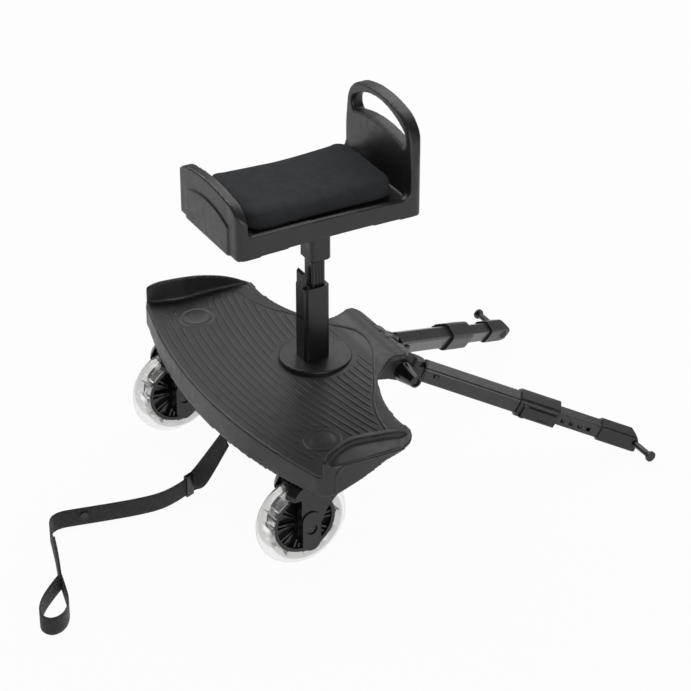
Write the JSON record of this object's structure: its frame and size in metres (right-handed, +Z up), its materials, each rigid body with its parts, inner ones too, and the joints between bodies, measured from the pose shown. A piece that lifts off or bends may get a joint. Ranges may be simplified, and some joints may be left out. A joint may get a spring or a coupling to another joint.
{
  "type": "pram ride-on board with seat",
  "caption": "Ride-on board for a pram: a moulded deck on swivelling wheels, a saddle seat with a handle on a height-adjustable post, extending coupling arms and a lifting strap.",
  "frame": {"origin": "on the floor, at the centre of the object's box without its strap", "axes": "+X to the right, +Y forward to the pram, +Z up"},
  "size_m": [0.4924, 0.8359, 0.507],
  "materials": {
    "black_plastic": "satin, finely grained",
    "gloss_plastic": "smooth, half gloss",
    "coated_tube": "black powder coat",
    "black_metal": "blackened steel",
    "steel": "zinc plated",
    "bush_plastic": "matte",
    "clear_tyre": "clear polyurethane",
    "cushion_cloth": "matte knitted cover",
    "webbing": "woven webbing"
  },
  "bodies": {
    "board": {"deck": "black_plastic", "spine": "black_plastic", "spine_screws": "steel", "post_socket": "black_plastic", "lower_post": "coated_tube", "post_bolt": "steel", "lever_pin": "steel", "hinge_shaft": "steel", "swivel_bush_left": "bush_plastic", "swivel_bush_right": "bush_plastic", "strap_anchor": "black_plastic", "anchor_screws": "steel", "strap_upper": "webbing", "strap_slider": "gloss_plastic", "strap_run": "webbing", "strap_loop": "webbing", "strap_snap": "black_metal"},
    "lever": {"height_lever": "black_plastic"},
    "seat": {"upper_post": "coated_tube", "seat_bracket": "black_plastic", "seat_screws": "steel", "seat_shell": "black_plastic", "seat_cushion": "cushion_cloth"},
    "knob_right": {"clamp_knob_right": "gloss_plastic"},
    "knuckle_right": {"arm_knuckle_right": "black_plastic", "swing_pin_right": "steel"},
    "arm_right": {"arm_root_right": "black_plastic", "arm_outer_tube_right": "coated_tube", "arm_rivet_right": "steel", "arm_collar_right": "black_plastic", "latch_pin_right": "steel"},
    "latch_right": {"arm_latch_right": "black_plastic"},
    "extension_right": {"arm_inner_tube_right": "coated_tube", "arm_end_cap_right": "black_plastic", "coupling_bolt_right": "black_metal"},
    "caster_right": {"caster_fork_right": "gloss_plastic", "caster_stem_right": "steel", "axle_bolt_right": "steel"},
    "wheel_right": {"wheel_hub_right": "gloss_plastic", "tyre_right": "clear_tyre", "wheel_bearings_right": "steel"},
    "knob_left": {"clamp_knob_left": "gloss_plastic"},
    "knuckle_left": {"arm_knuckle_left": "black_plastic", "swing_pin_left": "steel"},
    "arm_left": {"arm_root_left": "black_plastic", "arm_outer_tube_left": "coated_tube", "arm_rivet_left": "steel", "arm_collar_left": "black_plastic", "latch_pin_left": "steel"},
    "latch_left": {"arm_latch_left": "black_plastic"},
    "extension_left": {"arm_inner_tube_left": "coated_tube", "arm_end_cap_left": "black_plastic", "coupling_bolt_left": "black_metal"},
    "caster_left": {"caster_fork_left": "gloss_plastic", "caster_stem_left": "steel", "axle_bolt_left": "steel"},
    "wheel_left": {"wheel_hub_left": "gloss_plastic", "tyre_left": "clear_tyre", "wheel_bearings_left": "steel"}
  },
  "joints": [
    {"name": "height_lever_press", "type": "hinge", "parent": "board", "child": "lever", "pos_m": [0, -0.12506, 0.262], "axis": [1, 0, 0], "range_deg": [-4, 0], "stiffness_Nm_per_rad": 0.4},
    {"name": "seat_height", "type": "slide", "parent": "board", "child": "seat", "axis": [0, 0, 1], "range_m": [-0.035, 0.05]},
    {"name": "knob_turn_right", "type": "hinge", "parent": "board", "child": "knob_right", "pos_m": [0.0441, -0.00391, 0.1345], "axis": [1, 0, 0], "range_deg": [0, 150]},
    {"name": "arm_lift_right", "type": "hinge", "parent": "board", "child": "knuckle_right", "pos_m": [0.0328, -0.00391, 0.1345], "axis": [1, 0, 0], "range_deg": [-50, 40]},
    {"name": "arm_swing_right", "type": "hinge", "parent": "knuckle_right", "child": "arm_right", "pos_m": [0.0328, 0.01591, 0.12972], "axis": [0, 0.4207, 0.9072], "range_deg": [-12, 10]},
    {"name": "latch_lift_right", "type": "hinge", "parent": "arm_right", "child": "latch_right", "pos_m": [0.11211, 0.13362, 0.06985], "axis": [0.2555, 0.2978, 0.9198], "range_deg": [-10, 0], "stiffness_Nm_per_rad": 0.2},
    {"name": "arm_length_right", "type": "slide", "parent": "arm_right", "child": "extension_right", "axis": [0.4156, 0.8251, -0.3826], "range_m": [-0.045, 0.04]},
    {"name": "caster_swivel_right", "type": "hinge", "parent": "board", "child": "caster_right", "pos_m": [0.17, -0.20491, 0.1297], "axis": [0, 0, 1], "continuous": true},
    {"name": "wheel_spin_right", "type": "hinge", "parent": "caster_right", "child": "wheel_right", "pos_m": [0.17, -0.22091, 0.06], "axis": [1, 0, 0], "continuous": true},
    {"name": "knob_turn_left", "type": "hinge", "parent": "board", "child": "knob_left", "pos_m": [-0.0441, -0.00391, 0.1345], "axis": [1, 0, 0], "range_deg": [0, 150]},
    {"name": "arm_lift_left", "type": "hinge", "parent": "board", "child": "knuckle_left", "pos_m": [-0.0328, -0.00391, 0.1345], "axis": [1, 0, 0], "range_deg": [-50, 40]},
    {"name": "arm_swing_left", "type": "hinge", "parent": "knuckle_left", "child": "arm_left", "pos_m": [-0.0328, 0.01591, 0.12972], "axis": [0, -0.4207, -0.9072], "range_deg": [-12, 10]},
    {"name": "latch_lift_left", "type": "hinge", "parent": "arm_left", "child": "latch_left", "pos_m": [-0.11211, 0.13362, 0.06985], "axis": [0.2555, -0.2978, -0.9198], "range_deg": [-10, 0], "stiffness_Nm_per_rad": 0.2},
    {"name": "arm_length_left", "type": "slide", "parent": "arm_left", "child": "extension_left", "axis": [-0.4156, 0.8251, -0.3826], "range_m": [-0.045, 0.04]},
    {"name": "caster_swivel_left", "type": "hinge", "parent": "board", "child": "caster_left", "pos_m": [-0.17, -0.20491, 0.1297], "axis": [0, 0, 1], "continuous": true},
    {"name": "wheel_spin_left", "type": "hinge", "parent": "caster_left", "child": "wheel_left", "pos_m": [-0.17, -0.22091, 0.06], "axis": [1, 0, 0], "continuous": true}
  ]
}
